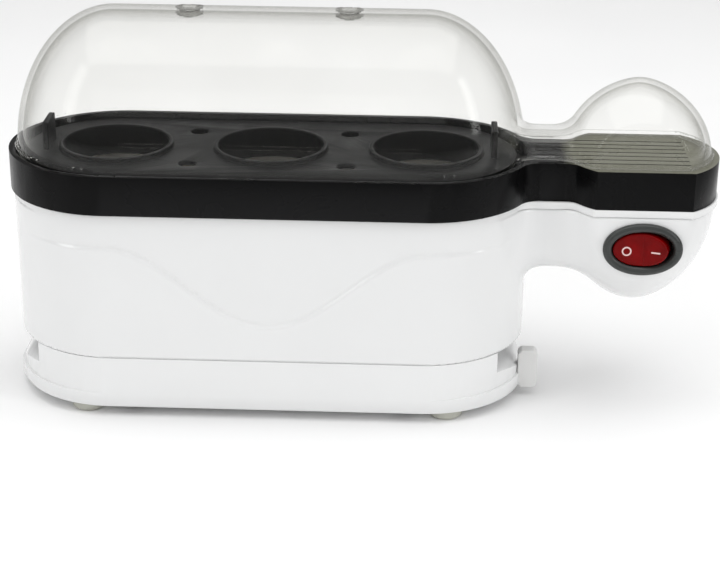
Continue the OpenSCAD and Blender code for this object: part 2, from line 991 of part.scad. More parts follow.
module switch_body() {
    place()
        color([0.12, 0.12, 0.12])
            at_switch()
                difference() {
                    upright(0, box_depth)
                        translate([0, box_lift / 2])
                            rounded_rect(box_w, box_h - box_lift, 2);
                    upright(-1, box_depth - 2)
                        rounded_rect(switch_w, switch_h, 1);
                    translate([0, pivot_in, -box_h])
                        cylinder(d = pin_d + 2 * pin_clear, h = 2 * box_h);
                    for (k = [-1:1])
                        translate([k * blade_x - 0.45, box_depth - 3, -2.5])
                            cube([0.9, 5, 5]);
                }
}

module switch_terminals() {
    place()
        color([0.8, 0.7, 0.45])
            at_switch()
                for (k = [-1:1])
                    translate([k * blade_x - 0.4, box_depth - 1.8, -2.4])
                        cube([0.8, 8.5, 4.8]);
}

module indicator_lamp() {
    place()
        color([1, 0.6, 0.3, 0.6])
            at_switch()
                translate([0, lever_in - 3.4, -switch_h / 2 + 1.8])
                    rotate([0, 90, 0])
                        cylinder(r = 1.3, h = 10, center = true);
}

function turned(x, y, angle) = [x * cos(angle) - y * sin(angle), x * sin(angle) + y * cos(angle)];

// Rocker seen from above, about its pivot and at off: the left half lies flat and the right half stands out
module rocker_profile() {
    half = rocker_w / 2;
    back = 1.2;
    polygon([[-half, back], [-half, -pressed_face], [-pressed_face * tan(rocker_throw / 2), -pressed_face],
             turned(half, -pressed_face, -rocker_throw), turned(half, back, -rocker_throw), [0, 2]]);
    circle(2.4);
}

module rocker_outline() {
    upright(-pressed_face - 4, 4)
        rounded_rect(rocker_w, rocker_h, rocker_h / 2 - 0.8);
}

module rocker() {
    place()
        color([0.62, 0.03, 0.03])
            at_switch()
                translate([0, pivot_in, 0]) {
                    intersection() {
                        translate([0, 0, -rocker_h / 2])
                            linear_extrude(rocker_h)
                                rocker_profile();
                        rocker_outline();
                        rotate(-rocker_throw)
                            rocker_outline();
                    }
                    cylinder(d = pin_d, h = box_h - 0.4, center = true);
                }
}

module rocker_marks() {
    mark_t = 0.1;
    place()
        color([0.95, 0.8, 0.8])
            at_switch()
                translate([0, pivot_in, 0]) {
                    translate([-5.6, 0, -0.6])
                        upright(-pressed_face - mark_t, -pressed_face)
                            difference() {
                                circle(1.6);
                                circle(1.1);
                            }
                    rotate(-rocker_throw)
                        translate([3.6, 0, -1.2])
                            upright(-pressed_face - mark_t, -pressed_face)
                                square([3, 0.6], center = true);
                }
}

module spring_plunger() {
    place()
        color([0.75, 0.75, 0.75])
            at_switch()
                translate([0, pivot_in, 2.6])
                    rotate(-rocker_throw / 2)
                        rotate([-90, 0, 0])
                            translate([0, 0, 2.5])
                                cylinder(r = 1, h = lever_in - pivot_in - 3.8);
}

module contact_lever() {
    place()
        color([0.8, 0.65, 0.35])
            at_switch()
                translate([0, lever_in, 2])
                    rotate(lever_angle) {
                        translate([-lever_half, -0.4, -2])
                            cube([2 * lever_half, 0.8, 4]);
                        cylinder(r = 0.8, h = 6, center = true);
                    }
}

// ---------- wires ----------

module routed(points, tint) {
    place()
        color(tint)
            wire(points);
}

blade_y = -pod_face + box_depth + 7.8;
block_top = floor_z + 5;
run_z = switch_z - 2;
bay_x = block_l / 3;

module wire_live() {
    routed([[block_x + bay_x, block_y - 2, block_top], [block_x + bay_x + 3, -8, 20], [50, -14, 34],
            [body_end - 16, -8, 50], [body_end + 6, -6, 57], [pod_x - 12, -1, run_z + 1],
            [switch_x - blade_x, blade_y, switch_z]], [0.45, 0.25, 0.12]);
}

module wire_switched() {
    routed([[switch_x, blade_y, switch_z], [switch_x - 6, 8, run_z + 2], [body_end + 8, 5, 58],
            [body_end - 3, 6, 55], [body_end - 12, 8, 50], [element_right + 17, element_half - 1, element_z - 2],
            [element_right + 9.5, element_half, element_z]], [0.7, 0.1, 0.08]);
}

module wire_neutral() {
    routed([[block_x, block_y - 2, block_top], [block_x - 4, -6, 20], [10, -8, 32],
            [thermostat_x + 6, -2, pan_floor - thermostat_h - 9], [thermostat_x + 5, 0, pan_floor - 15.6]],
           [0.1, 0.25, 0.6]);
}

module wire_link() {
    routed([[30, -4, pan_floor - 14], [element_right - 1, -6, pan_floor - 13], [element_right + 11, -10, element_z - 3],
            [element_right + 14, -element_half, element_z - 1], [element_right + 9.5, -element_half, element_z]],
           [0.92, 0.9, 0.85]);
}

module wire_earth() {
    routed([[block_x - bay_x, block_y - 2, block_top], [block_x - bay_x - 4, -8, block_top + 2], [-8, -16, 18],
            [-30, -15, 28], [-43, -7, pan_floor - 13], [-45.6, -1.5, pan_floor - 6.8]], [0.45, 0.65, 0.15]);
}

module wire_lamp() {
    routed([[block_x + 2, block_y + block_w + 2, block_top], [36, 21, 16], [60, 18, 34], [body_end - 10, 10, 50],
            [body_end + 8, 9, 54], [pod_x, 11.6, run_z - 3], [switch_x + blade_x, blade_y + 1, switch_z]],
           [0.15, 0.3, 0.65]);
}

lid();
egg_tray();
rim_collar();
pod_trim();
body_housing();
base_cover();
rubber_feet();
cord_clip();
cord_bush();
base_screws();
rim_screws();
heating_pan();
pan_gasket();
pan_screws();
heating_element();
element_terminals();
element_clamps();
clamp_nuts();
thermostat();
thermostat_clip();
thermal_fuse();
fuse_sleeve();
terminal_block();
terminal_screws();
switch_frame();
switch_body();
switch_terminals();
indicator_lamp();
rocker();
rocker_marks();
spring_plunger();
contact_lever();
wire_live();
wire_switched();
wire_neutral();
wire_link();
wire_earth();
wire_lamp();
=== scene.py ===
import json
import math
import bpy
import bmesh
import numpy as np
from mathutils import Vector, Matrix


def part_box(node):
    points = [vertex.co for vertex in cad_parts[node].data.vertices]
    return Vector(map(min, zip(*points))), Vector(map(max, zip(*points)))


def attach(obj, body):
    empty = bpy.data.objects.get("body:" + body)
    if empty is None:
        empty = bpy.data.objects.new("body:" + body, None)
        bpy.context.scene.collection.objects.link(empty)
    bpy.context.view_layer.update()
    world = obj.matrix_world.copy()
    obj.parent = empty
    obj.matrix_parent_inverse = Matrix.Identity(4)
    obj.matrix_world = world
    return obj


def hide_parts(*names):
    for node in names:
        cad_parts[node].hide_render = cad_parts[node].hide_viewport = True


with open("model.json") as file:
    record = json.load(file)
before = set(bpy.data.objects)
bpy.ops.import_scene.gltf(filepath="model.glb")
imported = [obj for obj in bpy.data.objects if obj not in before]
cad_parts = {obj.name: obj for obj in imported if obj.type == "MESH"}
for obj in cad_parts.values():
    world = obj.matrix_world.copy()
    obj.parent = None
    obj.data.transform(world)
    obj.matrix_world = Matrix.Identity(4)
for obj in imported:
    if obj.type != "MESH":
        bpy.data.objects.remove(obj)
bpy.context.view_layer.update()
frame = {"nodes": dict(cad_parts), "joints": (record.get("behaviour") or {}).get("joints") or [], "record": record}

MM = 0.001


# ---------------------------------------------------------------- places, from the frame, in millimetres
def span(node):
    """Lowest and highest corner of a CAD node, in millimetres."""
    low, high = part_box(node)
    return np.array(low) / MM, np.array(high) / MM


collar_low, collar_high = span("rim_collar")
body_low, body_high = span("body_housing")
base_low, base_high = span("base_cover")
trim_low, trim_high = span("pod_trim")
lid_low, lid_high = span("lid")
frame_low, frame_high = span("switch_frame")
rocker_low, rocker_high = span("rocker")

main_x = (base_low[0] + base_high[0]) / 2       # middle of the boiling body
rim_r = collar_high[1]                          # half depths of the rim, body and lid
body_r = base_high[1]
lid_r = lid_high[1]
ends = main_x - collar_low[0] - rim_r           # half the straight run between the two round ends
pod_r = 26.2                                    # the pod's radius at the rim
pod_x = collar_high[0] - pod_r
pod_face = trim_high[1]                         # how far out the pod's two flat faces stand
rim_top = collar_high[2]
body_top = trim_high[2]
trim_z = trim_low[2]
base_top = base_high[2]
lid_top = lid_high[2]
switch_x = (frame_low[0] + frame_high[0]) / 2
switch_z = (frame_low[2] + frame_high[2]) / 2


# ---------------------------------------------------------------- node materials
def new_material(name):
    m = bpy.data.materials.new(name)
    m.use_nodes = True
    m.node_tree.nodes.clear()
    return m


class Nodes:
    """Short names for building one node tree, or for adding to the tree of a copied material."""
    def __init__(self, material):
        self.tree = material.node_tree
        there = {n.type: n for n in self.tree.nodes}
        self.out = there.get("OUTPUT_MATERIAL") or self.add("ShaderNodeOutputMaterial")
        self.place = (there.get("TEX_COORD") or self.add("ShaderNodeTexCoord")).outputs["Object"]

    def add(self, kind, **values):
        n = self.tree.nodes.new(kind)
        for k, v in values.items():
            setattr(n, k, v)
        return n

    def link(self, a, b):
        self.tree.links.new(a, b)

    def noise(self, scale, detail=3.0, stretch=None, distort=0.0):
        n = self.add("ShaderNodeTexNoise")
        n.inputs["Scale"].default_value = scale
        n.inputs["Detail"].default_value = detail
        n.inputs["Distortion"].default_value = distort
        if stretch is None:
            self.link(self.place, n.inputs["Vector"])
        else:
            m = self.add("ShaderNodeMapping")
            m.inputs["Scale"].default_value = stretch
            self.link(self.place, m.inputs["Vector"])
            self.link(m.outputs["Vector"], n.inputs["Vector"])
        return n.outputs["Fac"]

    def spread(self, value, low, high, from_low=0.3, from_high=0.7):
        n = self.add("ShaderNodeMapRange")
        n.inputs["From Min"].default_value = from_low
        n.inputs["From Max"].default_value = from_high
        n.inputs["To Min"].default_value = low
        n.inputs["To Max"].default_value = high
        self.link(value, n.inputs["Value"])
        return n.outputs["Result"]

    def mix(self, fac, a, b):
        n = self.add("ShaderNodeMix", data_type="RGBA")
        for socket, v in ((n.inputs[6], a), (n.inputs[7], b)):
            if isinstance(v, (tuple, list)):
                socket.default_value = (*v[:3], 1)
            else:
                self.link(v, socket)
        if isinstance(fac, float):
            n.inputs[0].default_value = fac
        else:
            self.link(fac, n.inputs[0])
        return n.outputs[2]

    def bump(self, height, strength, distance=0.0002):
        n = self.add("ShaderNodeBump")
        n.inputs["Strength"].default_value = strength
        n.inputs["Distance"].default_value = distance
        self.link(height, n.inputs["Height"])
        return n.outputs["Normal"]

    def edges(self):
        """High where the surface turns sharply outwards, so where handling polishes it."""
        return self.add("ShaderNodeNewGeometry").outputs["Pointiness"]

    def maths(self, operation, a, b):
        n = self.add("ShaderNodeMath", operation=operation)
        self.link(a, n.inputs[0])
        if isinstance(b, float):
            n.inputs[1].default_value = b
        else:
            self.link(b, n.inputs[1])
        return n.outputs[0]

    def part_of(self, vector, axis):
        n = self.add("ShaderNodeSeparateXYZ")
        self.link(vector, n.inputs[0])
        return n.outputs[axis]


def moulded(name, colour, rough=(0.25, 0.35), grain=900, grain_depth=0.15, cloud=0.04,
            specular=0.5, coat=0.0, coat_rough=0.1, wear=0.0, wear_colour=(1, 1, 1), subsurface=0.0):
    """Moulded plastic or rubber: fine grain in the bump, slow cloudiness in colour and roughness."""
    m = new_material(name)
    n = Nodes(m)
    p = n.add("ShaderNodeBsdfPrincipled")
    slow = n.noise(28, 2)
    fine = n.noise(grain, 2)
    dark = tuple(c * (1 - cloud) for c in colour)
    tone = n.mix(n.spread(slow, 0, 1), dark, colour)
    if wear:
        tone = n.mix(n.spread(n.edges(), 0, wear, 0.52, 0.62), tone, wear_colour)
    n.link(tone, p.inputs["Base Color"])
    smudge = n.noise(60, 4, distort=0.6)
    n.link(n.spread(smudge, rough[0], rough[1]), p.inputs["Roughness"])
    n.link(n.bump(fine, grain_depth), p.inputs["Normal"])
    p.inputs["Specular IOR Level"].default_value = specular
    p.inputs["Coat Weight"].default_value = coat
    p.inputs["Coat Roughness"].default_value = coat_rough
    if subsurface:
        p.inputs["Subsurface Weight"].default_value = subsurface
        p.inputs["Subsurface Radius"].default_value = (0.004, 0.004, 0.004)
        p.inputs["Subsurface Scale"].default_value = 0.3
    n.link(p.outputs[0], n.out.inputs["Surface"])
    return m


def metal(name, colour, rough=(0.2, 0.35), stretch=(6, 260, 260), depth=0.12, stain=None):
    """Worked metal: drawing lines along one way, cloudy polish, and heat stain where stated."""
    m = new_material(name)
    n = Nodes(m)
    p = n.add("ShaderNodeBsdfPrincipled")
    lines = n.noise(4, 4, stretch=stretch)
    cloud = n.noise(45, 3)
    tone = n.mix(n.spread(cloud, 0, 1), tuple(c * 0.9 for c in colour), colour)
    if stain:
        tone = n.mix(n.spread(n.noise(34, 4, distort=1.2), 0, 0.75, 0.48, 0.72), tone, stain)
    n.link(tone, p.inputs["Base Color"])
    n.link(n.spread(lines, rough[0], rough[1]), p.inputs["Roughness"])
    n.link(n.bump(lines, depth, 0.0001), p.inputs["Normal"])
    p.inputs["Metallic"].default_value = 1.0
    n.link(p.outputs[0], n.out.inputs["Surface"])
    return m


def clear(name, tint, edge_tint, base_reflection=0.014, rough=0.03):
    """Clear moulded shell: a mirror where it is seen edge on, else what is behind it, slightly tinted."""
    m = new_material(name)
    n = Nodes(m)
    facing = n.add("ShaderNodeLayerWeight")
    facing.inputs["Blend"].default_value = 0.5
    mirror = n.maths("POWER", facing.outputs["Facing"], 4.2)
    amount = n.spread(mirror, base_reflection, 0.85, 0.0, 1.0)
    edge = n.maths("POWER", facing.outputs["Facing"], 4.5)
    haze = n.spread(n.noise(22, 3), 0.0, 0.03)
    see = n.add("ShaderNodeBsdfTransparent")
    n.link(n.mix(n.maths("ADD", edge, haze), tint, edge_tint), see.inputs["Color"])
    p = n.add("ShaderNodeBsdfPrincipled")
    p.inputs["Base Color"].default_value = (0.9, 0.9, 0.88, 1)
    n.link(n.spread(n.noise(70, 3), rough, rough + 0.05), p.inputs["Roughness"])
    n.link(n.bump(n.noise(40, 2), 0.05), p.inputs["Normal"])
    p.inputs["Metallic"].default_value = 0.9
    mixed = n.add("ShaderNodeMixShader")
    n.link(amount, mixed.inputs[0])
    n.link(see.outputs[0], mixed.inputs[1])
    n.link(p.outputs[0], mixed.inputs[2])
    n.link(mixed.outputs[0], n.out.inputs["Surface"])
    return m


WHITE = moulded("white_gloss", (0.83, 0.835, 0.835), rough=(0.13, 0.20), grain=500, grain_depth=0.03,
                cloud=0.015, specular=0.5, coat=0.35, coat_rough=0.05)
BLACK = moulded("black_satin", (0.0028, 0.0028, 0.003), rough=(0.24, 0.32), grain=1500, grain_depth=0.08,
                cloud=0.25, specular=0.09, wear=0.12, wear_colour=(0.05, 0.05, 0.052))
TRAY = moulded("black_tray", (0.004, 0.004, 0.0042), rough=(0.3, 0.42), grain=1500, grain_depth=0.2, cloud=0.2,
               specular=0.12)
FOOT = moulded("foot_rubber", (0.53, 0.53, 0.47), rough=(0.5, 0.65), grain=1600, grain_depth=0.35,
               cloud=0.08)
GREY = moulded("grey_plastic", (0.76, 0.76, 0.75), rough=(0.3, 0.42), grain=1200, grain_depth=0.15,
               cloud=0.03)
RUBBER = moulded("black_rubber", (0.02, 0.02, 0.02), rough=(0.55, 0.7), grain=1500,
                 grain_depth=0.4, cloud=0.2)
SILICONE = moulded("silicone", (0.62, 0.58, 0.52), rough=(0.45, 0.55), grain=900, grain_depth=0.2,
                   subsurface=0.2)
CERAMIC = moulded("ceramic", (0.78, 0.74, 0.66), rough=(0.5, 0.65), grain=1400, grain_depth=0.4, cloud=0.08)
PHENOLIC = moulded("phenolic", (0.05, 0.028, 0.018), rough=(0.28, 0.4), grain=800,
                   grain_depth=0.15, cloud=0.2)
SLEEVE = moulded("glass_sleeve", (0.68, 0.66, 0.6), rough=(0.6, 0.75), grain=2200, grain_depth=0.6,
                 cloud=0.1)
NYLON = moulded("nylon", (0.72, 0.71, 0.66), rough=(0.35, 0.5), grain=900, grain_depth=0.2, subsurface=0.2)
SLATE = moulded("slate_plastic", (0.030, 0.034, 0.032), rough=(0.26, 0.36), grain=1600, grain_depth=0.18,
                cloud=0.15, wear=0.45, wear_colour=(0.14, 0.15, 0.145))
SWITCH_BLACK = moulded("switch_black", (0.016, 0.017, 0.017), rough=(0.35, 0.5), grain=1300, grain_depth=0.2,
                       cloud=0.2)
MARK = moulded("mark_ink", (0.86, 0.62, 0.60), rough=(0.35, 0.5), grain=2600, grain_depth=0.15, cloud=0.06)
LAMP = moulded("lamp_glass", (0.85, 0.34, 0.12), rough=(0.08, 0.14), grain=500, grain_depth=0.05, coat=0.5)
ZINC = metal("zinc_steel", (0.56, 0.56, 0.58), rough=(0.25, 0.42), stretch=(90, 90, 20))
PAN = metal("pan_steel", (0.63, 0.62, 0.60), rough=(0.22, 0.4), stretch=(5, 220, 220), stain=(0.48,
            0.42, 0.33))
ELEMENT = metal("element_steel", (0.34, 0.32, 0.31), rough=(0.35, 0.55), stretch=(120, 120, 120),
                stain=(0.22, 0.15, 0.12))
BRASS = metal("brass", (0.72, 0.53, 0.24), rough=(0.25, 0.4), stretch=(160, 20, 160), stain=(0.5,
              0.33, 0.15))


def sleeve_of_wire(name, colour, cloud=0.15):
    return moulded(name, colour, rough=(0.4, 0.55), grain=1800, cloud=cloud)


WIRES = {
    "wire_live": sleeve_of_wire("wire_brown", (0.13, 0.05, 0.02)),
    "wire_switched": sleeve_of_wire("wire_red", (0.4, 0.02, 0.02)),
    "wire_neutral": sleeve_of_wire("wire_blue", (0.02, 0.08, 0.36)),
    "wire_link": sleeve_of_wire("wire_white", (0.7, 0.7, 0.68), cloud=0.1),
    "wire_earth": sleeve_of_wire("wire_green", (0.16, 0.42, 0.06)),
    "wire_lamp": sleeve_of_wire("wire_white_thin", (0.7, 0.7, 0.68), cloud=0.1),
}
CLEAR = clear("clear_shell", (0.997, 0.997, 0.992), (0.50, 0.495, 0.46))
# painted shade: a darker, more reflective tint of the clear shell, used round the steam vents to stand in for the
# dark shading of their thick edges
VENT_PAINTED_SHADE = clear("vent_painted_shade", (0.42, 0.42, 0.40), (0.12, 0.12, 0.11), base_reflection=0.12)


def red_rocker():
    """Deep translucent red with a slightly cloudy body and a soft gloss."""
    m = new_material("rocker_red")
    n = Nodes(m)
    p = n.add("ShaderNodeBsdfPrincipled")
    cloud = n.noise(160, 3)
    tone = n.mix(n.spread(cloud, 0, 1), (0.12, 0.0, 0.0003), (0.21, 0.0002, 0.0008))
    n.link(tone, p.inputs["Base Color"])
    n.link(n.spread(n.noise(240, 3), 0.12, 0.22), p.inputs["Roughness"])
    n.link(n.bump(n.noise(900, 2), 0.06), p.inputs["Normal"])
    p.inputs["Subsurface Weight"].default_value = 0.12
    p.inputs["Subsurface Radius"].default_value = (0.006, 0.0006, 0.0006)
    p.inputs["Subsurface Scale"].default_value = 0.4
    p.inputs["Specular IOR Level"].default_value = 0.10
    n.link(p.outputs[0], n.out.inputs["Surface"])
    return m


def collar_black_painted_deck_light():
    """Satin black all over, with painted light on the pod's ribbed deck under the small dome: its upward-facing
    faces are painted a lighter olive grey.
    """
    m = BLACK.copy()
    m.name = "collar_black_painted_deck_light"
    n = Nodes(m)
    p = next(k for k in n.tree.nodes if k.type == "BSDF_PRINCIPLED")
    black = p.inputs["Base Color"].links[0].from_socket
    # painted light: these masks pick the upward-facing faces at the top of the rim over the pod, which are painted
    # lighter as if lit from above
    high = n.spread(n.part_of(n.place, "Z"), 0, 1, (rim_top - 1.1) * MM, (rim_top - 0.55) * MM)
    far = n.spread(n.part_of(n.place, "X"), 0, 1, (pod_x - 26) * MM, (pod_x - 22) * MM)
    normal = n.add("ShaderNodeNewGeometry").outputs["Normal"]
    level = n.spread(n.part_of(normal, "Z"), 0, 1, 0.9, 0.98)
    deck = n.maths("MULTIPLY", n.maths("MULTIPLY", high, far), level)
    n.link(n.mix(deck, black, (0.16, 0.16, 0.125)), p.inputs["Base Color"])
    return m


RED = red_rocker()
COLLAR_PAINTED_LIGHT = collar_black_painted_deck_light()

LOOKS = {
    "egg_tray": TRAY, "rim_collar": COLLAR_PAINTED_LIGHT, "pod_trim": WHITE, "base_cover": WHITE, "rubber_feet": FOOT,
    "cord_clip": GREY, "cord_bush": RUBBER, "base_screws": ZINC, "rim_screws": ZINC, "heating_pan": PAN,
    "pan_gasket": SILICONE, "pan_screws": ZINC, "heating_element": ELEMENT, "element_terminals": CERAMIC,
    "element_clamps": ZINC, "clamp_nuts": ZINC, "thermostat": PHENOLIC, "thermostat_clip": ZINC,
    "thermal_fuse": ZINC, "fuse_sleeve": SLEEVE, "terminal_block": NYLON, "terminal_screws": BRASS,
    "switch_frame": SLATE, "switch_body": SWITCH_BLACK, "switch_terminals": BRASS, "indicator_lamp": LAMP,
    "rocker": RED, "rocker_marks": MARK, "spring_plunger": ZINC, "contact_lever": BRASS, **WIRES,
}


def body_name(node):
    """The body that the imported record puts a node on."""
    for name, members in frame["record"]["behaviour"]["bodies"].items():
        if node in members:
            return name
    return "root"


def place_piece(obj, node, material):
    """obj stands for a CAD node: same body, with a finished material."""
    obj.data.materials.clear()
    obj.data.materials.append(material)
    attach(obj, body_name(node))
    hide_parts(node)


# ---------------------------------------------------------------- fields: below nought inside a shape
def smooth_min(a, b, k):
    """The union of two fields, with a fillet about k wide where they meet."""
    h = np.clip(0.5 + 0.5 * (b - a) / k, 0, 1)
    return b + (a - b) * h - k * h * (1 - h)


def smooth_max(a, b, k):
    """What two fields share, with its edge rounded over about k."""
    return -smooth_min(-a, -b, k)


def stadium(x, y, half):
    """Distance from the straight run between two round ends."""
    dx = np.maximum(np.abs(x) - half, 0)
    return np.sqrt(dx * dx + y * y)


def dome(r, z, radius, height, n, m):
    """Signed distance, about, to (r/radius)^n + (z/height)^m = 1."""
    r = np.maximum(r, 1e-6)
    z = np.maximum(z, 1e-6)
    g = (r / radius) ** n + (z / height) ** m
    gr = n / radius * (r / radius) ** (n - 1)
    gz = m / height * (z / height) ** (m - 1)
    rho = g ** (1 / max(n, m))
    size = np.sqrt(r * r + z * z)
    radial = size * (1 - 1 / np.maximum(rho, 1e-3))
    slope = np.sqrt(gr * gr + gz * gz)
    close = (g - 1) / np.maximum(slope, 1e-4)
    w = np.clip(1 - np.abs(g - 1) * 1.5, 0, 1)
    return close * w + radial * (1 - w)


def oval(a, b, half_a, half_b):
    """About the distance from an oval a little squarer than an ellipse."""
    return dome(np.abs(a), np.abs(b), half_a, half_b, 2.06, 2.06)


def rounded_box2(a, b, half_a, half_b, radius):
    """Distance from a rectangle with rounded corners."""
    qa = np.abs(a) - half_a + radius
    qb = np.abs(b) - half_b + radius
    outside = np.sqrt(np.maximum(qa, 0) ** 2 + np.maximum(qb, 0) ** 2)
    return outside + np.minimum(np.maximum(qa, qb), 0) - radius


def cell_points(value, inside, cells):
    """For each cell of the grid, the mean of where its twelve edges cross nought, and whether any does."""
    total = np.zeros(cells + (3,))
    count = np.zeros(cells)

    def corner(a, i, j, k):
        return a[i:i + cells[0], j:j + cells[1], k:k + cells[2]]

    for axis in range(3):
        first, second = [d for d in range(3) if d != axis]
        for u, v in ((0, 0), (0, 1), (1, 0), (1, 1)):
            start = [0, 0, 0]
            start[first] = u
            start[second] = v
            end = list(start)
            end[axis] = 1
            a = corner(value, *start)
            b = corner(value, *end)
            cross = corner(inside, *start) != corner(inside, *end)
            total[..., axis] += np.where(cross, a / np.where(cross, a - b, 1), 0)
            total[..., first] += u * cross
            total[..., second] += v * cross
            count += cross
    used = count > 0
    return total[used] / count[used][:, None], used


def cell_quads(inside, index):
    """One four-sided face round each edge of the grid that crosses nought, wound to face outwards."""
    quads = []
    for axis in range(3):
        first, second = [d for d in range(3) if d != axis]
        near = [slice(None)] * 3
        near[axis] = slice(0, -1)
        far = [slice(None)] * 3
        far[axis] = slice(1, None)
        near_inside = inside[tuple(near)]
        edge = np.argwhere(near_inside != inside[tuple(far)])
        keep = (edge[:, first] > 0) & (edge[:, second] > 0)
        keep &= (edge[:, first] < inside.shape[first] - 1) & (edge[:, second] < inside.shape[second] - 1)
        edge = edge[keep]
        outwards = near_inside[tuple(edge.T)]

        def cell(back_first, back_second):
            e = edge.copy()
            e[:, first] -= back_first
            e[:, second] -= back_second
            return index[tuple(e.T)]

        quad = np.stack([cell(1, 1), cell(0, 1), cell(0, 0), cell(1, 0)], 1)
        if axis == 1:
            outwards = ~outwards
        quad[~outwards] = quad[~outwards][:, ::-1]
        quads.append(quad)
    return np.concatenate(quads)


def gradient(field, points, h):
    slopes = []
    for d in range(3):
        e = np.zeros(3)
        e[d] = h
        slopes.append((field(*(points + e).T) - field(*(points - e).T)) / (2 * h))
    return np.stack(slopes, 1)


def net(field, low, high, step):
    """A closed mesh on field = 0 by surface nets, its points then brought onto it by Newton's method."""
    n = [int(math.ceil((high[i] - low[i]) / step)) + 1 for i in range(3)]
    axes = [low[i] + step * np.arange(n[i]) for i in range(3)]
    value = field(*np.meshgrid(*axes, indexing="ij"))
    value[np.abs(value) < 1e-7] = 1e-7
    inside = value < 0
    cells = tuple(k - 1 for k in n)
    local, used = cell_points(value, inside, cells)
    index = -np.ones(cells, int)
    index[used] = np.arange(used.sum())
    points = np.array(low) + step * (np.argwhere(used) + local)
    quads = cell_quads(inside, index)
    for _ in range(4):
        g = gradient(field, points, 0.05)
        square = np.maximum((g * g).sum(1), 0.05)
        move = -(field(*points.T) / square)[:, None] * g
        size = np.linalg.norm(move, axis=1)
        move *= np.minimum(1, 0.4 * step / np.maximum(size, 1e-9))[:, None]
        points = points + move
    g = gradient(field, points, 0.12)
    normals = g / np.maximum(np.linalg.norm(g, axis=1), 1e-9)[:, None]
    return points, quads, normals


def mesh_object(name, points, faces, normals):
    """A smooth object from points in millimetres, four-sided faces and a normal for each point."""
    mesh = bpy.data.meshes.new(name)
    mesh.vertices.add(len(points))
    mesh.vertices.foreach_set("co", (points * MM).astype(np.float32).ravel())
    mesh.loops.add(faces.size)
    mesh.loops.foreach_set("vertex_index", faces.astype(np.int32).ravel())
    mesh.polygons.add(len(faces))
    mesh.polygons.foreach_set("loop_start", np.arange(0, faces.size, 4, dtype=np.int32))
    mesh.update(calc_edges=True)
    mesh.validate()
    mesh.polygons.foreach_set("use_smooth", np.ones(len(mesh.polygons), bool))
    if len(mesh.vertices) == len(normals):
        mesh.normals_split_custom_set_from_vertices([tuple(v) for v in normals])
    obj = bpy.data.objects.new(name, mesh)
    bpy.context.scene.collection.objects.link(obj)
    return obj


def net_piece(name, node, material, field, low, high, step):
    """The mesh of a field within a box, standing for a CAD node."""
    obj = mesh_object(name, *net(field, low, high, step))
    place_piece(obj, node, material)
    return obj


def refine(node, name, bevel, angle=32, segments=3):
    """A copy of a CAD node's mesh with its flat faces whole again and its edges rounded."""
    source = frame["nodes"][node]
    mesh = source.data.copy()
    mesh.name = name
    b = bmesh.new()
    b.from_mesh(mesh)
    bmesh.ops.remove_doubles(b, verts=b.verts, dist=2e-6)
    bmesh.ops.dissolve_limit(b, angle_limit=math.radians(0.6), verts=b.verts, edges=b.edges)
    for f in b.faces:
        f.smooth = True
    b.to_mesh(mesh)
    b.free()
    obj = bpy.data.objects.new(name, mesh)
    bpy.context.scene.collection.objects.link(obj)
    obj.matrix_world = source.matrix_world.copy()
    m = obj.modifiers.new("edges", "BEVEL")
    m.width = bevel * MM
    m.segments = segments
    m.limit_method = "ANGLE"
    m.angle_limit = math.radians(angle)
    m.harden_normals = True
    m.use_clamp_overlap = True
    return obj


# ---------------------------------------------------------------- lid
lid_wall = 1.8
small_x = pod_x - 0.9            # small dome: its middle, radius, height and half width across its flats
small_r = 24.4
small_h = 25.6
small_face = 18.7
channel_half = 10.2              # channel between the domes: half width, top, middle and half length
channel_top = 91.5
channel_x = main_x + 97
channel_reach = 16
deck_z = rim_top + 0.35          # the small dome and channel stand just clear of the rim's deck
flange_out = 0.9
flange_h = 1.3
vent_at = (-25.8, 25.8)          # steam vents along the main dome, and their bore and lip radii
vent_r = 3.2
lip_r = 4.1
vent_above = 110


def lid_outer(x, y, z):
    """Outside of the two domes and the channel, carried straight down below the rim's top."""
    rise = np.maximum(z - rim_top, 0)
    big = dome(stadium(x - main_x, y, ends), rise, lid_r, lid_top - rim_top, 1.94, 2.0)
    round_tip = 1.5
    small = dome(np.sqrt((x - small_x) ** 2 + y * y + round_tip), rise, small_r, small_h, 1.55, 2.05)
    small = smooth_max(small, np.abs(y) - small_face, 1.0)
    across = rounded_box2(y, z - (channel_top - 11.5), channel_half, 11.5, 3.0)
    channel = smooth_max(across, np.abs(x - channel_x) - channel_reach, 1.0)
    return smooth_min(big, smooth_min(small, channel, 5.0), 5.0)


def lid_field(x, y, z):
    outer = lid_outer(x, y, z)
    beyond_main = stadium(x - main_x, y, ends) - lid_r
    shell = smooth_max(outer, -(outer + lid_wall), 0.5)
    # the main dome reaches down into the rim's groove, and the rest stops at the deck
    below = np.minimum(deck_z - z, np.maximum(beyond_main - 0.2, lid_low[2] - z))
    shell = smooth_max(shell, below, 0.5)
    flange = np.maximum(outer - flange_out, -(outer + lid_wall))
    flange = np.maximum(flange, np.maximum(z - deck_z - flange_h, deck_z - z))
    flange = np.maximum(flange, 0.4 - beyond_main)
    shell = smooth_min(shell, flange, 0.5)
    far_off = 9
    for side in vent_at:
        r = np.sqrt((x - main_x - side) ** 2 + y * y)
        flare = 1.1 * np.clip(outer + 0.9, 0, 1.2)
        hole = r - (vent_r + flare)
        lip = np.maximum(np.abs(r - lip_r) - 0.5, np.abs(outer) - 0.3)
        shell = smooth_min(shell, np.where(z > vent_above, lip, far_off), 0.4)
        shell = smooth_max(shell, np.where(z > vent_above, -hole, -far_off), 0.4)
    return shell


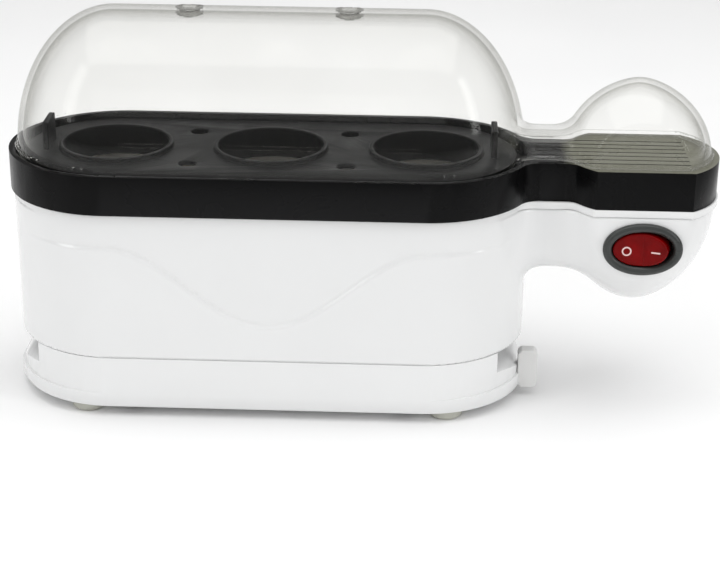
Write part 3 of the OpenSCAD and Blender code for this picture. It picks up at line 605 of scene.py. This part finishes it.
# ---------------------------------------------------------------- body
body_wall = 2.2
body_foot = 14.0                 # lowest point of the lip that goes down into the base
lip_out = 32.3
wave_low = 33.3                  # the front's wave: its dip, its rise and its half length
wave_rise = 26.3
wave_half = 53
wave_step = 0.62
wave_groove = 0.32
bowl_r = 25.9                    # the pod's bowl, hung from the body's top
bowl_depth = 37.8
bridge_half = 13.4               # bridge: half width, middle and half height, middle and half length
bridge_z = 67
bridge_half_h = 20
bridge_x = main_x + 101
bridge_reach = 22
switch_hole = (11.6, 7.4)        # half width and half height of the hole behind the bezel


def wave(xm):
    t = np.clip(np.abs(xm - 1) / wave_half, 0, 1)
    return wave_low + wave_rise * (1 - np.cos(math.pi * t)) / 2


def body_outer(x, y, z):
    """Outside of the main body, the bridge and the pod's bowl, with no top or bottom."""
    xm = x - main_x
    main = stadium(xm, y, ends) - body_r
    # the front and back step back above a wave that dips in the middle and dies out round the ends
    fade = 1 - np.clip((np.abs(xm) - 58) / 24, 0, 1)
    above = z - wave(xm)
    step = np.clip(above / 1.25, 0, 1)
    main = main + wave_step * fade * step * step * (3 - 2 * step)
    main = main + wave_groove * fade * np.exp(-((above - 0.5) / 0.75) ** 2)
    pod = dome(np.sqrt((x - pod_x) ** 2 + y * y), np.maximum(body_top - z, 0), bowl_r, bowl_depth, 1.73, 2.15)
    pod = smooth_max(pod, np.abs(y) - (pod_face - 0.1), 2.0)
    bridge = rounded_box2(y, z - bridge_z, bridge_half, bridge_half_h, 6.0)
    bridge = smooth_max(bridge, np.abs(x - bridge_x) - bridge_reach, 3)
    return smooth_min(main, smooth_min(pod, bridge, 7.0), 7.5)


def body_field(x, y, z):
    outer = body_outer(x, y, z)
    r = stadium(x - main_x, y, ends)
    shell = smooth_max(outer, -(outer + body_wall), 0.5)
    top = np.minimum(z - trim_z + 0.15, np.maximum(r - body_r, z - body_top))
    shell = smooth_max(shell, top, 0.7)
    foot = np.minimum(base_top + 0.08 - z, np.maximum(r - lip_out, body_foot - z))
    shell = smooth_max(shell, foot, 0.35)
    return smooth_max(shell, -np.maximum(oval(x - switch_x, z - switch_z, *switch_hole), y + 15), 0.4)


lid = net_piece("lid_shell", "lid", CLEAR, lid_field,
                (lid_low[0] - 3, -lid_r - 3, lid_low[2] - 3), (lid_high[0] + 4, lid_r + 3, lid_top + 3), 0.75)
# the faces round each vent lip take the darker tint, painted shade for the vents' thick edges
lid.data.materials.append(VENT_PAINTED_SHADE)
for face in lid.data.polygons:
    c = face.center / MM
    if c.z > vent_above + 2 and min(math.hypot(c.x - main_x - v, c.y) for v in vent_at) < lip_r + 0.6:
        face.material_index = 1

net_piece("body_shell", "body_housing", WHITE, body_field,
          (body_low[0] - 3, -body_r - 3, body_foot - 2.5), (body_high[0] + 3, body_r + 3, body_top + 3), 0.75)


# ---------------------------------------------------------------- switch: oval bezel and oval rocker
bezel_w = (frame_high[0] - frame_low[0]) / 2     # half sizes of the bezel and of the opening in it
bezel_h = (frame_high[2] - frame_low[2]) / 2
hole_w = bezel_w - 2.9
hole_h = bezel_h - 2.75
bezel_back = -12.5                               # the bezel's collar reaches this far into the pod
key_gap = 0.35                                   # clearance between the rocker and the bezel
key_face_y = frame_low[1] + 0.55                 # the rocker's flat half, just inside the bezel's face
key_lean = math.tan(math.radians(15.5))
key_dish = 0.006

tilt = next(j for j in frame["joints"] if j["name"] == "rocker_tilt")
pin = [v / MM for v in tilt["pos_m"]]
throw = math.radians(tilt["range_deg"][1])


def bezel_field(x, y, z):
    out = oval(x - switch_x, z - switch_z, bezel_w, bezel_h)
    inner = oval(x - switch_x, z - switch_z, hole_w, hole_h)
    crown = frame_low[1] - y - 0.45 * np.clip(-np.maximum(out, -inner), 0, 1.2) + 0.5
    ring = smooth_max(smooth_max(out, -inner, 0.5), crown, 0.8)
    plate = np.maximum(ring, y - (frame_high[1] + 0.2))
    collar = np.maximum(np.maximum(inner - 0.9, -inner), np.maximum(y - bezel_back, frame_low[1] + 0.9 - y))
    return smooth_min(plate, collar, 0.2)


def key_face(xs, y, zs):
    """The rocker's face at off: the left half flat, the right half leaning out, both slightly dished."""
    return key_face_y - key_lean * np.maximum(xs, 0) - y + key_dish * zs ** 2


def rocker_field(x, y, z):
    xs = x - switch_x
    zs = z - switch_z
    proud = np.clip((frame_low[1] + 0.9) - y, 0, 4)
    lean_in = 0.95 * proud * np.clip(xs / 3, 0, 1)
    outline = oval(xs + lean_in, zs, hole_w - key_gap, hole_h - key_gap)
    # the same outline clears the bezel when the rocker is tilted to on
    turned = (x - pin[0]) * math.cos(throw) - (y - pin[1]) * math.sin(throw) + pin[0] - switch_x
    outline = smooth_max(outline, oval(turned, zs, hole_w - key_gap, hole_h - key_gap), 0.4)
    body = smooth_max(outline, key_face(xs, y, zs), 0.7)
    return smooth_max(body, y - (rocker_high[1] - 1.5), 0.5)


def mark_field(x, y, z):
    """The ring on the flat half and the bar on the raised half, a thin print on the rocker's face."""
    xs = x - switch_x
    zs = z - switch_z
    ring = np.abs(np.sqrt((xs + 5.3) ** 2 + (zs + 0.4) ** 2) - 1.35) - 0.24
    bar = rounded_box2(xs - 4.0, zs + 0.4, 1.45, 0.26, 0.15)
    return np.maximum(np.abs(key_face(xs, y, zs)) - 0.11, np.minimum(ring, bar))


net_piece("switch_bezel", "switch_frame", SLATE, bezel_field,
          (switch_x - bezel_w - 1, frame_low[1] - 2, switch_z - bezel_h - 1),
          (switch_x + bezel_w + 1, bezel_back + 1, switch_z + bezel_h + 1), 0.3)
net_piece("rocker_key", "rocker", RED, rocker_field,
          (switch_x - hole_w - 1, rocker_low[1] - 2, switch_z - hole_h - 1),
          (switch_x + hole_w + 1, rocker_high[1] + 1, switch_z + hole_h + 1), 0.3)
net_piece("rocker_print", "rocker_marks", MARK, mark_field,
          (switch_x - 8, rocker_low[1] - 2, switch_z - 3), (switch_x + 8, rocker_high[1], switch_z + 3), 0.12)

# the switch's case stands behind the oval bezel's seat, inside the pod
case_back = 2.4
case = refine("switch_body", "switch_case", 0.3)
for v in case.data.vertices:
    v.co.y = max(v.co.y, (frame_high[1] + case_back) * MM)
place_piece(case, "switch_body", SWITCH_BLACK)

# CAD shapes shown with rounded edges, and the width of the rounding
REFINED = {"rim_collar": 0.55, "base_cover": 0.7, "pod_trim": 0.25,
           "rubber_feet": 0.6, "cord_clip": 0.5, "cord_bush": 0.4, "egg_tray": 0.35}
for node, bevel in REFINED.items():
    place_piece(refine(node, node + "_finished", bevel), node, LOOKS[node])

REBUILT = ("switch_frame", "rocker", "rocker_marks", "switch_body")
for node, material in LOOKS.items():
    if node in REFINED or node in REBUILT:
        continue
    for s in frame["nodes"][node].material_slots:
        s.link = "OBJECT"
        s.material = material


# ---------------------------------------------------------------- floor, light, camera
def stage_material():
    m = new_material("floor_paper")
    n = Nodes(m)
    p = n.add("ShaderNodeBsdfPrincipled")
    cloud = n.spread(n.noise(3, 2), 0, 1)
    n.link(n.mix(cloud, (0.90, 0.90, 0.90), (0.93, 0.93, 0.93)), p.inputs["Base Color"])
    n.link(n.spread(n.noise(12, 3), 0.55, 0.7), p.inputs["Roughness"])
    n.link(n.bump(n.noise(300, 2), 0.03), p.inputs["Normal"])
    n.link(p.outputs[0], n.out.inputs["Surface"])
    return m


def sweep():
    """One paper sweep, in metres: flat under the object, rising in a curve behind it."""
    front, back, bend, top, half = -2.4, 1.0, 1.3, 4.0, 3.5
    outline = [(front + i / 12.5 * (back - front), 0.0) for i in range(13)]
    for i in range(13, 26):
        a = (i / 25 - 0.5) * math.pi
        outline.append((back + bend * math.sin(a), bend * (1 - math.cos(a))))
    outline.append((outline[-1][0], top))
    b = bmesh.new()
    rows = [[b.verts.new((x, y, z)) for x in np.linspace(-half, half, 9)] for y, z in outline]
    for r0, r1 in zip(rows, rows[1:]):
        for i in range(8):
            f = b.faces.new((r0[i], r0[i + 1], r1[i + 1], r1[i]))
            f.smooth = True
    mesh = bpy.data.meshes.new("floor")
    b.to_mesh(mesh)
    b.free()
    obj = bpy.data.objects.new("floor", mesh)
    bpy.context.scene.collection.objects.link(obj)
    obj.data.materials.append(stage_material())


sweep()


def area(name, where, size, power):
    """A soft rectangular light, aimed at the middle of the object."""
    data = bpy.data.lights.new(name, "AREA")
    data.energy = power
    data.shape = "RECTANGLE"
    data.size, data.size_y = size
    obj = bpy.data.objects.new(name, data)
    obj.location = where
    aim = Vector((0.0, 0.0, 0.06)) - Vector(where)
    obj.rotation_euler = aim.to_track_quat("-Z", "Y").to_euler()
    bpy.context.scene.collection.objects.link(obj)


area("overhead", (0.0, 0.0, 1.15), (1.5, 1.3), 13.0)
area("left_bank", (-1.05, -0.75, 0.75), (0.35, 1.0), 3.6)
area("right_bank", (1.1, -0.55, 0.6), (0.22, 0.9), 3.2)
area("front_fill", (0.0, -1.6, 0.9), (1.6, 0.6), 2.2)

world = bpy.data.worlds.new("studio")
world.use_nodes = True
world.node_tree.nodes["Background"].inputs[0].default_value = (1, 1, 1, 1)
world.node_tree.nodes["Background"].inputs[1].default_value = 0.36
bpy.context.scene.world = world

camera = bpy.data.cameras.new("camera")
camera.lens = 89.2
camera.sensor_width = 36
camera.clip_start = 0.01
eye = bpy.data.objects.new("camera", camera)
bpy.context.scene.collection.objects.link(eye)
stand = Vector((18.15, -564.07, 270.29)) * MM    # where the camera stands and what it looks at
look = Vector((-0.69, 0, 33.31)) * MM
rotation = (look - stand).to_track_quat("-Z", "Y").to_matrix()
roll = Matrix.Rotation(math.radians(0.59), 3, "Z")
eye.matrix_world = Matrix.Translation(stand) @ (rotation @ roll).to_4x4()
bpy.context.scene.camera = eye

bpy.context.scene.view_settings.view_transform = "Standard"
